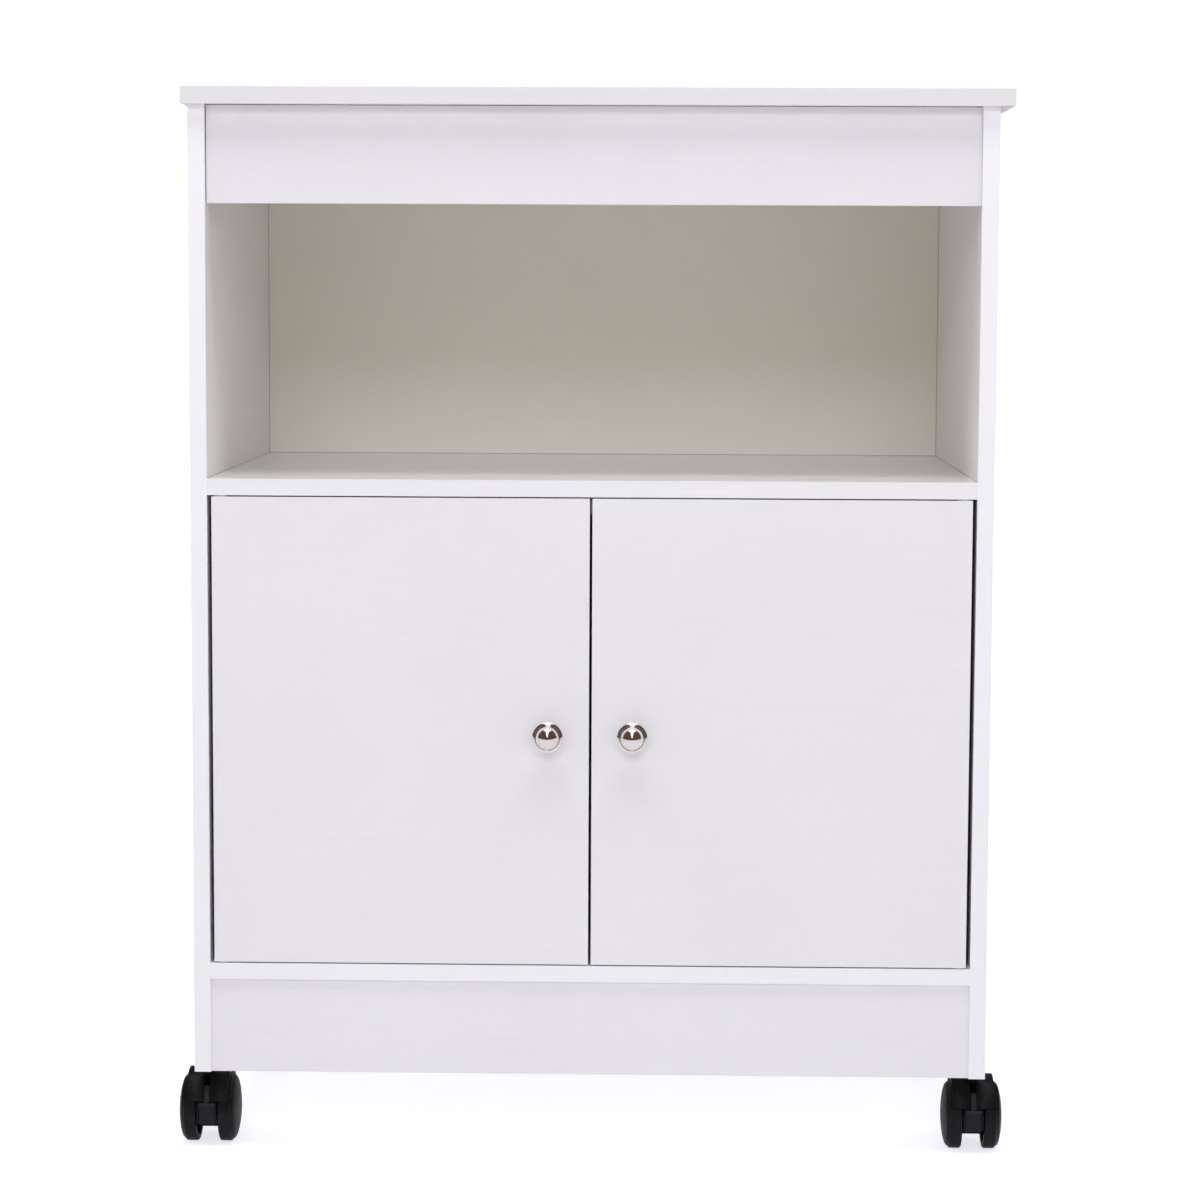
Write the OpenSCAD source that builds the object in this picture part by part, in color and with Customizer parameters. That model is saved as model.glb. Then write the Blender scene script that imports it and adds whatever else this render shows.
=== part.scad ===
// Microwave cart: a white board cabinet with an open bay over two doors, on four twin-wheel casters.
// Units are millimetres. +Z is up, the doors face -Y, and z = 0 is the floor.
// The origin is at the middle of the whole cart's outline on the floor.

/* [Boards] */
// Thickness of every board
board_t = 12; // [12:0.5:15]
// Width over the two side panels
cabinet_w = 576; // [480:2:700]
// Depth of the side panels
side_d = 378; // [340:2:420]
// Height of the side panels
side_h = 700; // [620:5:800]
// Thickness of the back panel
back_t = 3; // [2.5:0.5:5]
// Distance from the front plane to the back panel's front face
inside_d = 362; // [320:2:400]

/* [Top board] */
// Width of the top board
top_w = 590; // [580:1:620]
// Depth of the top board
top_d = 394; // [380:2:430]
// How far the top board stands out in front of the side panels
top_front = 8; // [0:1:20]
// How far the top board is set to the right of the centre
top_shift = 3; // [0:0.5:3]

/* [Shelf and rails] */
// Height of the middle shelf's underside above the floor
shelf_z = 483; // [440:1:520]
// Height of the bottom shelf's underside above the floor
bottom_z = 130; // [125:1:150]
// Height of the fixed apron rail under the top board
rail_h = 69.3; // [60:0.1:70]
// How far the apron rail lies behind the front plane
apron_recess = 5; // [0:0.5:8]
// How far the kick board lies behind the front plane
kick_recess = 3; // [0:0.5:6]
// Gap between the apron rail and the top board
apron_gap = 0.4; // [0.3:0.1:2]

/* [Doors] */
// Gap between a door and its side panel
door_side_gap = 3.2; // [3:0.1:5]
// Gap between the two doors
door_mid_gap = 2; // [1.5:0.5:4]
// Gap above and below each door
door_gap = 1; // [1:0.1:2]
// Distance from a door's free edge to its knob
knob_in = 29.4; // [20:0.5:60]
// How far the knobs sit below the middle of the doors
knob_drop = 1.5; // [0:0.5:60]
// How far a knob stands out from its door
knob_out = 22; // [22:0.5:30]
// Radius of a knob's head
knob_r = 11.5; // [10:0.5:15]

/* [Casters] */
// Height of a caster under the side panel
caster_h = 61; // [60:0.5:64]
// Radius of a wheel
wheel_r = 25; // [24:0.5:25]
// Distance from the front plane to the front swivel axes
front_stem_d = 58; // [56:1:90]
// Distance from the front plane to the rear swivel axes
rear_stem_d = 318; // [280:1:330]
// Distance from a swivel axis forward to its axle
trail = 18; // [17:0.5:19]

/* [Hidden] */
$fn = 64;

// Colours of the finishes
white_face = [0.91, 0.90, 0.93];
back_tone = [0.74, 0.73, 0.68];
black_nylon = [0.05, 0.05, 0.055];
bright_steel = [0.72, 0.72, 0.74];
beech = [0.80, 0.66, 0.47];

// Main planes
inner_w = cabinet_w - 2 * board_t;
front_y = (knob_out + top_front - top_d) / 2;
side_top = caster_h + side_h;
mid_t = board_t / 2;
shelf_d = inside_d;
groove_deep = 5;
groove_w = back_t + 0.2;
back_z0 = bottom_z;
back_z1 = side_top - 0.5;
apron_z1 = side_top - apron_gap;
apron_z0 = apron_z1 - rail_h;
kick_z1 = bottom_z;
apron_left_gap = 0.6;
apron_right_gap = 0.1;

// Joints: depths of cams and dowels from the front plane, and heights in the rails
shelf_cam_d = [45, 317];
shelf_dowel_d = [77, 285];
top_cam_d = [78, 298];
top_dowel_d = [110, 266];
kick_cam_z = [caster_h + 46];
kick_dowel_z = [caster_h + 22];
apron_cam_z = [apron_z0 + 24];
apron_dowel_z = [apron_z0 + 48];
cam_in = 24;
cam_r = 6;
cam_h = 9.5;
bolt_r = 2.5;
dowel_r = 3;
dowel_in = 8.5;
dowel_out = 15.5;
nail_x = [-230, -115, 0, 115, 230];
nail_z = [bottom_z + mid_t, shelf_z + mid_t];

// Doors
door_z0 = bottom_z + board_t + door_gap;
door_z1 = shelf_z - door_gap;
door_h = door_z1 - door_z0;
door_x1 = door_mid_gap / 2;
door_x0 = inner_w / 2 - door_side_gap;
door_w = door_x0 - door_x1;
pivot_x = door_x0 - mid_t;
knob_x = door_x1 + knob_in;
knob_z = (door_z0 + door_z1) / 2 - knob_drop;
pin_r = 2;
pin_fit = 0.05;
bush_r = 4;

// Catch
catch_d0 = board_t + 1.9;
catch_w = 46;
catch_d = 19;
catch_h = 13;
pole_x = 13;

// Casters, in their own frame: swivel axis at x = 0, y = 0, the axle ahead at y = -trail
caster_x = cabinet_w / 2 - mid_t;
stem_top_r = 3.5;
stem_low_r = 4;
axle_r = 3;
fender_ri = wheel_r + 1.2;
fender_ro = wheel_r + 4;
wheel_in = 7.7;
wheel_out = 22.25;
ax_z = wheel_r;
pedal_y = -trail - 13;
pedal_z = ax_z + 14;

function Y(d) = front_y + d;
// Unit arm from the axle to the front, raised by an angle, as (y, z)
function arm(t) = [-cos(t), sin(t)];

// A box between two corners
module box(a, b) { translate(a) cube(b - a); }

// Round bars along each axis, from one end to the other
module bar_x(x0, x1, y, z, r) { translate([x0, y, z]) rotate([0, 90, 0]) cylinder(r = r, h = x1 - x0); }
module bar_y(y0, y1, x, z, r) { translate([x, y1, z]) rotate([90, 0, 0]) cylinder(r = r, h = y1 - y0); }
module bar_z(z0, z1, x, y, r) { translate([x, y, z0]) cylinder(r = r, h = z1 - z0); }

// Extrudes a (y, z) outline to a given width along X, about x = 0
module slab_x(w) { rotate([90, 0, 90]) translate([0, 0, -w / 2]) linear_extrude(w) children(); }

// Places children at both ends of a shelf. Each frame starts on the side panel's inner face,
// with +X into the shelf and z = 0 on the shelf's underside
module at_shelf(z0, ds) {
  for (s = [0, 1]) mirror([s, 0, 0]) for (d = ds)
    translate([-inner_w / 2, Y(d), z0]) children();
}

// The same at both ends of an upright rail, with z = 0 on the rail's back face
module at_rail(back_d, zs) {
  for (s = [0, 1]) mirror([s, 0, 0]) for (z = zs)
    translate([-inner_w / 2, Y(back_d), z]) rotate([90, 0, 0]) children();
}

// The same at the top edges of the side panels, with z = 0 on a panel's inner face
module at_top(ds) {
  for (s = [0, 1]) mirror([s, 0, 0]) for (d = ds)
    translate([-inner_w / 2, Y(d), side_top]) rotate([0, 90, 0]) rotate([180, 0, 0]) children();
}

module at_cams() {
  at_shelf(shelf_z, shelf_cam_d) children();
  at_shelf(bottom_z, shelf_cam_d) children();
  at_rail(apron_recess + board_t, apron_cam_z) children();
  at_rail(kick_recess + board_t, kick_cam_z) children();
  at_top(top_cam_d) children();
}

module at_dowels() {
  at_shelf(shelf_z, shelf_dowel_d) children();
  at_shelf(bottom_z, shelf_dowel_d) children();
  at_rail(apron_recess + board_t, apron_dowel_z) children();
  at_rail(kick_recess + board_t, kick_dowel_z) children();
  at_top(top_dowel_d) children();
}

// One cam lock, its face at z = 0, open towards the bolt that comes from -X
module cam_lock() {
  difference() {
    cylinder(r = cam_r, h = cam_h);
    translate([-cam_r - 1, -3.3, mid_t - 3.3]) cube([cam_r + 4.2, 6.6, cam_h]);
    translate([-3.2, -0.6, -1]) cube([6.4, 1.2, 2.4]);
    translate([-0.6, -3.2, -1]) cube([1.2, 6.4, 2.4]);
  }
}

// One cam bolt: threaded end in the panel at x < 0, collar, shank and head to the cam
module cam_bolt() {
  translate([0, 0, mid_t]) rotate([0, 90, 0]) translate([0, 0, -9]) rotate_extrude()
    polygon([[0, 0], [1.6, 0], [bolt_r, 1.2], [bolt_r, 9], [3.2, 9], [3.2, 11.5], [2.2, 12.5],
             [2.2, 26.5], [1.7, 27.5], [1.7, 29.6], [2.9, 31], [2.9, 33], [2, 34.5], [0, 34.5]]);
}

module dowel() { bar_x(-dowel_in, dowel_out, 0, mid_t, dowel_r); }

// Cuts for the joints: in the board that holds the cam, and in the panel that holds the bolt
module cam_pocket() {
  translate([cam_in, 0, -1]) cylinder(r = cam_r + 0.1, h = cam_h + 1.2);
  bar_x(-1, cam_in, 0, mid_t, 3.5);
}
module bolt_hole() { bar_x(-9.4, 1, 0, mid_t, bolt_r + 0.05); }
module dowel_hole() { bar_x(-dowel_in - 0.5, dowel_out + 0.5, 0, mid_t, dowel_r + 0.05); }

// Side panel on the left; the right one is its mirror image
module side_panel() {
  x0 = -cabinet_w / 2;
  x1 = -inner_w / 2;
  difference() {
    box([x0, Y(0), caster_h], [x1, Y(side_d), side_top]);
    box([x1 - groove_deep, Y(inside_d), caster_h - 1], [x1 + 1, Y(inside_d) + groove_w, side_top + 1]);
    at_shelf(shelf_z, shelf_cam_d) bolt_hole();
    at_shelf(bottom_z, shelf_cam_d) bolt_hole();
    at_rail(apron_recess + board_t, apron_cam_z) bolt_hole();
    at_rail(kick_recess + board_t, kick_cam_z) bolt_hole();
    at_top(top_cam_d) cam_pocket();
    at_dowels() dowel_hole();
    for (d = [front_stem_d, rear_stem_d])
      bar_z(caster_h - 1, caster_h + 38, -caster_x, Y(d), 4.55);
  }
}

module side_panel_left() { color(white_face) side_panel(); }
module side_panel_right() { color(white_face) mirror([1, 0, 0]) side_panel(); }

// Top board, resting on the side panels
module top_panel() {
  color(white_face) difference() {
    box([top_shift - top_w / 2, Y(-top_front), side_top],
        [top_shift + top_w / 2, Y(top_d - top_front), side_top + board_t]);
    at_top(top_cam_d) bolt_hole();
    at_top(top_dowel_d) dowel_hole();
  }
}

// Fixed apron rail between the side panels under the top board
module apron_rail() {
  color(white_face) difference() {
    box([-inner_w / 2 + apron_left_gap, Y(apron_recess), apron_z0],
        [inner_w / 2 - apron_right_gap, Y(apron_recess + board_t), apron_z1]);
    at_rail(apron_recess + board_t, apron_cam_z) cam_pocket();
    at_rail(apron_recess + board_t, apron_dowel_z) dowel_hole();
  }
}

// A shelf between the side panels, with its cams in the underside
module shelf_board(z0) {
  difference() {
    box([-inner_w / 2, Y(0), z0], [inner_w / 2, Y(shelf_d), z0 + board_t]);
    at_shelf(z0, shelf_cam_d) cam_pocket();
    at_shelf(z0, shelf_dowel_d) dowel_hole();
    for (x = nail_x) bar_y(Y(shelf_d) - 16.5, Y(shelf_d) + 1, x, z0 + mid_t, 0.85);
  }
}

module middle_shelf() {
  color(white_face) difference() {
    shelf_board(shelf_z);
    for (s = [-1, 1]) bar_z(shelf_z - 1, shelf_z + 9, s * pivot_x, Y(mid_t), pin_r + 0.02);
    for (d = [6, 14]) bar_z(shelf_z - 1, shelf_z + 9.5, 0, Y(catch_d0 + d), 1.35);
  }
}

module bottom_shelf() {
  color(white_face) difference() {
    shelf_board(bottom_z);
    for (s = [-1, 1]) bar_z(bottom_z + 3, bottom_z + board_t + 1, s * pivot_x, Y(mid_t), pin_r + 0.02);
  }
}

// Kick board under the bottom shelf
module kick_board() {
  color(white_face) difference() {
    box([-inner_w / 2, Y(kick_recess), caster_h], [inner_w / 2, Y(kick_recess + board_t), kick_z1]);
    at_rail(kick_recess + board_t, kick_cam_z) cam_pocket();
    at_rail(kick_recess + board_t, kick_dowel_z) dowel_hole();
  }
}

// Thin back panel, held in the side panels' grooves and nailed to the shelves
module back_panel() {
  color(back_tone) difference() {
    box([-inner_w / 2 - groove_deep + 0.2, Y(inside_d), back_z0],
        [inner_w / 2 + groove_deep - 0.2, Y(inside_d) + back_t, back_z1]);
    for (x = nail_x, z = nail_z) bar_y(Y(inside_d) - 1, Y(inside_d) + back_t + 1, x, z, 0.85);
  }
}

module cam_locks() { color("silver") at_cams() translate([cam_in, 0, 0]) cam_lock(); }
module cam_bolts() { color(bright_steel) at_cams() cam_bolt(); }
module wood_dowels() { color(beech) at_dowels() dowel(); }

// Nails with thin round heads on the outside of the back panel
module back_nails() {
  color(bright_steel) for (x = nail_x, z = nail_z) {
    bar_y(Y(inside_d) - 16, Y(inside_d) + back_t + 0.4, x, z, 0.8);
    bar_y(Y(inside_d) + back_t, Y(inside_d) + back_t + 0.9, x, z, 2.2);
  }
}

// Double magnetic catch under the middle shelf, behind the meeting edges of the doors
module catch_body() {
  y0 = Y(catch_d0);
  color([0.9, 0.9, 0.88]) difference() {
    union() {
      box([-catch_w / 2, y0 + 0.4, shelf_z - catch_h], [catch_w / 2, y0 + catch_d - 5, shelf_z]);
      box([-7, y0 + 0.4, shelf_z - catch_h], [7, y0 + catch_d, shelf_z]);
    }
    for (s = [-1, 1]) box([s * pole_x - 6, y0 - 1, shelf_z - 11], [s * pole_x + 6, y0 + 10.2, shelf_z - 2]);
    for (d = [6, 14]) {
      bar_z(shelf_z - catch_h - 1, shelf_z + 1, 0, y0 + d, 1.7);
      bar_z(shelf_z - catch_h - 1, shelf_z - 6, 0, y0 + d, 3.2);
    }
  }
}

module catch_magnets() {
  y0 = Y(catch_d0);
  color([0.12, 0.12, 0.12]) for (s = [-1, 1])
    box([s * pole_x - 5.8, y0 + 0.6, shelf_z - 9.3], [s * pole_x + 5.8, y0 + 9.8, shelf_z - 3.7]);
}

// Steel pole plates above and below each magnet; their front edges meet the strike plates
module catch_poles() {
  y0 = Y(catch_d0);
  color("silver") for (s = [-1, 1], z = [shelf_z - 10.6, shelf_z - 3.6])
    box([s * pole_x - 5.8, y0, z], [s * pole_x + 5.8, y0 + 10, z + 1.2]);
}

module catch_screws() {
  y0 = Y(catch_d0);
  color("silver") for (d = [6, 14]) translate([0, y0 + d, 0]) difference() {
    union() {
      bar_z(shelf_z - 8.2, shelf_z - 6, 0, 0, 2.9);
      bar_z(shelf_z - 7, shelf_z + 9, 0, 0, 1.3);
    }
    translate([-2, -0.4, shelf_z - 9]) cube([4, 0.8, 1.7]);
    translate([-0.4, -2, shelf_z - 9]) cube([0.8, 4, 1.7]);
  }
}

// Steel pivot pins in the two shelves, above and below each door
module hinge_pins() {
  color(bright_steel) for (s = [-1, 1]) {
    bar_z(bottom_z + 3.5, door_z0 + 8, s * pivot_x, Y(mid_t), pin_r);
    bar_z(door_z1 - 8, shelf_z + 8.5, s * pivot_x, Y(mid_t), pin_r);
  }
}

// Everything on the left door is drawn at x < 0; the right door is its mirror image
module door_board() {
  difference() {
    box([-door_x0, Y(0), door_z0], [-door_x1, Y(board_t), door_z1]);
    bar_z(door_z0 - 1, door_z0 + 9.8, -pivot_x, Y(mid_t), bush_r + 0.05);
    bar_z(door_z1 - 9.8, door_z1 + 1, -pivot_x, Y(mid_t), bush_r + 0.05);
    bar_y(Y(-1), Y(board_t + 1), -knob_x, knob_z, 2.2);
    bar_y(Y(3), Y(board_t + 1), -pole_x, door_z1 - 8, 1.35);
  }
}

// Flanged nylon bushes in the door's bottom and top edges
module door_bushes() {
  difference() {
    union() {
      bar_z(door_z0 - 0.7, door_z0, -pivot_x, Y(mid_t), 5);
      bar_z(door_z0 - 0.7, door_z0 + 9.5, -pivot_x, Y(mid_t), bush_r);
    }
    bar_z(door_z0 - 2, door_z0 + 11, -pivot_x, Y(mid_t), pin_r + pin_fit);
  }
  difference() {
    union() {
      bar_z(door_z1, door_z1 + 0.7, -pivot_x, Y(mid_t), 5);
      bar_z(door_z1 - 9.5, door_z1 + 0.7, -pivot_x, Y(mid_t), bush_r);
    }
    bar_z(door_z1 - 11, door_z1 + 2, -pivot_x, Y(mid_t), pin_r + pin_fit);
  }
}

// Turned knob with a rounded rim ring and a raised dome
module knob() {
  k = knob_r / 11.5;
  translate([-knob_x, Y(0), knob_z]) rotate([90, 0, 0]) difference() {
    rotate_extrude($fn = 96) polygon(concat(
      [[0, 0], [7.2 * k, 0], [7.2 * k, 1], [6.6 * k, 1.6], [4.8 * k, 2.6], [4.4 * k, 4.5], [5 * k, 6.6], [7 * k, 9],
       [9.8 * k, 11], [11 * k, 12.2]],
      [for (a = [0 : 20 : 160]) [(9.9 + 1.6 * cos(a - 30)) * k, 13.6 + 1.6 * sin(a - 30)]],
      [[8.5 * k, 14.6]],
      [for (a = [15 : 15 : 75]) [8.5 * k * cos(a), 14.9 + (knob_out - 14.9) * sin(a)]],
      [[0, knob_out]]));
    translate([0, 0, -1]) cylinder(r = 2.05, h = 11.5);
  }
}

// Pan-head screw through the door into the knob
module knob_screw() {
  difference() {
    union() {
      bar_y(Y(-10), Y(board_t), -knob_x, knob_z, 2);
      bar_y(Y(board_t), Y(board_t + 1.6), -knob_x, knob_z, 4);
      bar_y(Y(board_t + 1.6), Y(board_t + 2.4), -knob_x, knob_z, 3.2);
    }
    translate([-knob_x - 2.4, Y(board_t + 1.1), knob_z - 0.5]) cube([4.8, 2, 1]);
    translate([-knob_x - 0.5, Y(board_t + 1.1), knob_z - 2.4]) cube([1, 2, 4.8]);
  }
}

// Steel strike plate on the door's inner face, with a screw set flush in its middle
module strike_plate() {
  difference() {
    box([-pole_x - 8, Y(board_t), door_z1 - 15], [-pole_x + 8, Y(board_t + 1.2), door_z1 - 1]);
    bar_y(Y(board_t - 1), Y(board_t + 2), -pole_x, door_z1 - 8, 2.6);
  }
}

module strike_screw() {
  difference() {
    union() {
      bar_y(Y(4), Y(board_t + 1), -pole_x, door_z1 - 8, 1.3);
      bar_y(Y(board_t), Y(board_t + 1.1), -pole_x, door_z1 - 8, 2.5);
    }
    translate([-pole_x - 1.8, Y(board_t + 0.4), door_z1 - 8.3]) cube([3.6, 2, 0.6]);
    translate([-pole_x - 0.3, Y(board_t + 0.4), door_z1 - 9.8]) cube([0.6, 2, 3.6]);
  }
}

module left_door() { color(white_face) door_board(); }
module left_door_bushes() { color("ivory") door_bushes(); }
module left_knob() { color("gainsboro") knob(); }
module left_knob_screw() { color("silver") knob_screw(); }
module left_strike_plate() { color("silver") strike_plate(); }
module left_strike_screw() { color("silver") strike_screw(); }
module right_door() { color(white_face) mirror([1, 0, 0]) door_board(); }
module right_door_bushes() { color("ivory") mirror([1, 0, 0]) door_bushes(); }
module right_knob() { color("gainsboro") mirror([1, 0, 0]) knob(); }
module right_knob_screw() { color("silver") mirror([1, 0, 0]) knob_screw(); }
module right_strike_plate() { color("silver") mirror([1, 0, 0]) strike_plate(); }
module right_strike_screw() { color("silver") mirror([1, 0, 0]) strike_screw(); }

// Places a caster piece on a swivel axis: sx is -1 for left and 1 for right
module at_caster(sx, d) { translate([sx * caster_x, Y(d), 0]) children(); }
module at_casters() { for (sx = [-1, 1], d = [front_stem_d, rear_stem_d]) at_caster(sx, d) children(); }

// Plastic sleeve pressed into the bottom edge of the side panel
module caster_sleeves() {
  color([0.85, 0.85, 0.82]) at_casters() difference() {
    union() {
      bar_z(caster_h - 1, caster_h, 0, 0, 5.8);
      bar_z(caster_h - 1, caster_h + 37.5, 0, 0, 4.5);
    }
    bar_z(caster_h - 2, caster_h + 35.5, 0, 0, stem_top_r + 0.05);
  }
}

// Steel stem, fixed in the sleeve; the hood turns on its lower length
module caster_stems() {
  color(bright_steel) at_casters() rotate_extrude()
    polygon([[0, 31.5], [3.4, 31.5], [stem_low_r, 32.3], [stem_low_r, 34], [3.2, 34], [3.2, 35], [stem_low_r, 35],
             [stem_low_r, caster_h - 2.8], [5.6, caster_h - 2.8], [5.6, caster_h - 1.1],
             [stem_top_r, caster_h - 1.1], [stem_top_r, caster_h + 34], [2.8, caster_h + 35], [0, caster_h + 35]]);
}

// Snap rings in the stems' lower grooves; they keep the hoods on
module caster_clips() {
  color(bright_steel) at_casters() difference() {
    bar_z(34.1, 34.9, 0, 0, 5.8);
    bar_z(33, 36, 0, 0, 3.25);
    box([-1.2, 2, 33], [1.2, 7, 36]);
  }
}

// Hood: a fender over both wheels, a middle web with the axle hub, and the swivel boss.
// On the front casters the fender has a slot and two side walls for the brake pedal
module hood(brake) {
  a = [-trail, ax_z];
  difference() {
    union() {
      // Fender over the two treads, thinner towards its front edge
      slab_x(31) intersection() {
        translate(a) difference() { translate([1.8, 0.4]) circle(r = fender_ro, $fn = 96); circle(r = fender_ri, $fn = 96); }
        polygon([a, a + [60, -6], a + [60, 60], a + [-60, 60], a + [-60, 24.2]]);
      }
      // Web from the fender down to the axle
      slab_x(6.4) intersection() {
        translate(a) circle(r = fender_ri + 0.5, $fn = 96);
        polygon([a, a + [40, 18.6], a + [40, 60], a + [-24.2, 60]]);
      }
      // Middle block around the axle
      slab_x(14.6) union() {
        translate(a) circle(r = 9);
        polygon([a + [-9, 0], a + [-8, -13], a + [8, -13], a + [9, 0]]);
      }
      // Swivel boss
      bar_z(35.2, caster_h - 3.1, 0, 0, 6.5);
      bar_z(51, caster_h - 3.1, 0, 0, 9);
      // Side walls beside the brake pedal
      if (brake) for (s = [-1, 1]) translate([s * 6.6, 0, 0]) slab_x(1.4) union() {
        intersection() {
          translate(a) circle(r = fender_ri + 0.5, $fn = 96);
          polygon([a, a + [-60, 24.2], a + [-60, 60], a + [-4, 60]]);
        }
        intersection() {
          translate(a) circle(r = wheel_r - 0.6, $fn = 96);
          polygon([a + [0, -7], a + [-60, -7], a + [-60, 24.2], a]);
        }
      }
    }
    // Bore for the stem, and room for the snap ring
    bar_z(28, caster_h, 0, 0, stem_low_r + 0.05);
    bar_z(28, 35.2, 0, 0, 6.9);
    // Axle hole
    bar_x(-10, 10, -trail, ax_z, axle_r + 0.02);
    if (brake) {
      // Hole for the pedal's pin, and the slot for its tab
      bar_x(-10, 10, pedal_y, pedal_z, 1.52);
      slab_x(4.6) polygon([a + 25 * arm(67), a + 36 * arm(67), a + 40 * arm(44), a + 36 * arm(15), a + 25 * arm(15)]);
    }
  }
}

module axle() { bar_x(-20, 20, -trail, ax_z, axle_r); }

// One wheel on the +X side: hub, web and rim on its inner side, a domed outer face
module wheel() {
  r = wheel_r;
  translate([0, -trail, ax_z]) rotate([0, 90, 0]) rotate_extrude($fn = 96)
    polygon(concat(
      [[0, 20.2], [axle_r + 0.05, 20.2], [axle_r + 0.05, wheel_in], [8, wheel_in], [8, 14], [r - 4.5, 14], [r - 4.5, wheel_in + 0.4],
       [r - 1, wheel_in + 0.4], [r - 0.3, wheel_in + 0.8], [r, wheel_in + 1.6],
       [r, 15.6], [r - 0.3, 16.6], [r - 1.1, 17.3]],
      [for (a = [20 : 10 : 80]) [(r - 1.1) * cos(a), 17.3 + (wheel_out - 17.3) * sin(a)]],
      [[0, wheel_out]]));
}

// Brake pedal: a lever on its pin between the hood's side walls, a ribbed foot plate,
// and a tab that stands in the fender's slot
module pedal() {
  a = [-trail, ax_z];
  difference() {
    union() {
      slab_x(10.8) union() {
        translate([pedal_y, pedal_z]) circle(r = 3);
        polygon([[pedal_y, pedal_z + 3], [-trail - 18.5, pedal_z - 1.2], [-trail - 23.2, 33.2],
                 [-trail - 20.4, 30.2], [-trail - 16.5, pedal_z - 5.5], [pedal_y, pedal_z - 3]]);
      }
      slab_x(4) intersection() {
        translate(a) difference() { circle(r = 27.3, $fn = 96); circle(r = 22, $fn = 96); }
        polygon([a, a + 50 * arm(48), a + 50 * arm(20)]);
      }
      bar_x(-2.6, 2.6, -trail - 24.4, 33.1, 1.1);
      box([-5.6, -trail - 23.2, 17.4], [5.6, -trail - 20.4, 33.2]);
      for (i = [0 : 7]) box([-5.6, -trail - 24, 17.8 + 1.6 * i], [5.6, -trail - 23, 18.6 + 1.6 * i]);
      for (s = [-1, 1]) box([s * 4.5 - 1.1, -trail - 24.2, 31.6], [s * 4.5 + 1.1, -trail - 23, 33.2]);
    }
    bar_x(-10, 10, pedal_y, pedal_z, 1.55);
  }
}
module pedal_pin() { bar_x(-7.1, 7.1, pedal_y, pedal_z, 1.5); }

module front_left_hood() { color(black_nylon) at_caster(-1, front_stem_d) hood(true); }
module front_left_axle() { color(bright_steel) at_caster(-1, front_stem_d) axle(); }
module front_left_wheel_outer() { color(black_nylon) at_caster(-1, front_stem_d) mirror([1, 0, 0]) wheel(); }
module front_left_wheel_inner() { color(black_nylon) at_caster(-1, front_stem_d) wheel(); }
module front_left_pedal() { color([0.12, 0.12, 0.13]) at_caster(-1, front_stem_d) pedal(); }
module front_left_pedal_pin() { color(bright_steel) at_caster(-1, front_stem_d) pedal_pin(); }
module front_right_hood() { color(black_nylon) at_caster(1, front_stem_d) hood(true); }
module front_right_axle() { color(bright_steel) at_caster(1, front_stem_d) axle(); }
module front_right_wheel_outer() { color(black_nylon) at_caster(1, front_stem_d) wheel(); }
module front_right_wheel_inner() { color(black_nylon) at_caster(1, front_stem_d) mirror([1, 0, 0]) wheel(); }
module front_right_pedal() { color([0.12, 0.12, 0.13]) at_caster(1, front_stem_d) pedal(); }
module front_right_pedal_pin() { color(bright_steel) at_caster(1, front_stem_d) pedal_pin(); }
module rear_left_hood() { color(black_nylon) at_caster(-1, rear_stem_d) hood(false); }
module rear_left_axle() { color(bright_steel) at_caster(-1, rear_stem_d) axle(); }
module rear_left_wheel_outer() { color(black_nylon) at_caster(-1, rear_stem_d) mirror([1, 0, 0]) wheel(); }
module rear_left_wheel_inner() { color(black_nylon) at_caster(-1, rear_stem_d) wheel(); }
module rear_right_hood() { color(black_nylon) at_caster(1, rear_stem_d) hood(false); }
module rear_right_axle() { color(bright_steel) at_caster(1, rear_stem_d) axle(); }
module rear_right_wheel_outer() { color(black_nylon) at_caster(1, rear_stem_d) wheel(); }
module rear_right_wheel_inner() { color(black_nylon) at_caster(1, rear_stem_d) mirror([1, 0, 0]) wheel(); }

side_panel_left();
side_panel_right();
top_panel();
apron_rail();
middle_shelf();
bottom_shelf();
kick_board();
back_panel();
cam_locks();
cam_bolts();
wood_dowels();
back_nails();
catch_body();
catch_magnets();
catch_poles();
catch_screws();
hinge_pins();
left_door();
left_door_bushes();
left_knob();
left_knob_screw();
left_strike_plate();
left_strike_screw();
right_door();
right_door_bushes();
right_knob();
right_knob_screw();
right_strike_plate();
right_strike_screw();
caster_sleeves();
caster_stems();
caster_clips();
front_left_hood();
front_left_axle();
front_left_wheel_outer();
front_left_wheel_inner();
front_left_pedal();
front_left_pedal_pin();
front_right_hood();
front_right_axle();
front_right_wheel_outer();
front_right_wheel_inner();
front_right_pedal();
front_right_pedal_pin();
rear_left_hood();
rear_left_axle();
rear_left_wheel_outer();
rear_left_wheel_inner();
rear_right_hood();
rear_right_axle();
rear_right_wheel_outer();
rear_right_wheel_inner();
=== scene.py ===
import math
import bpy
import bmesh
from mathutils import Matrix, Vector


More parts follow.
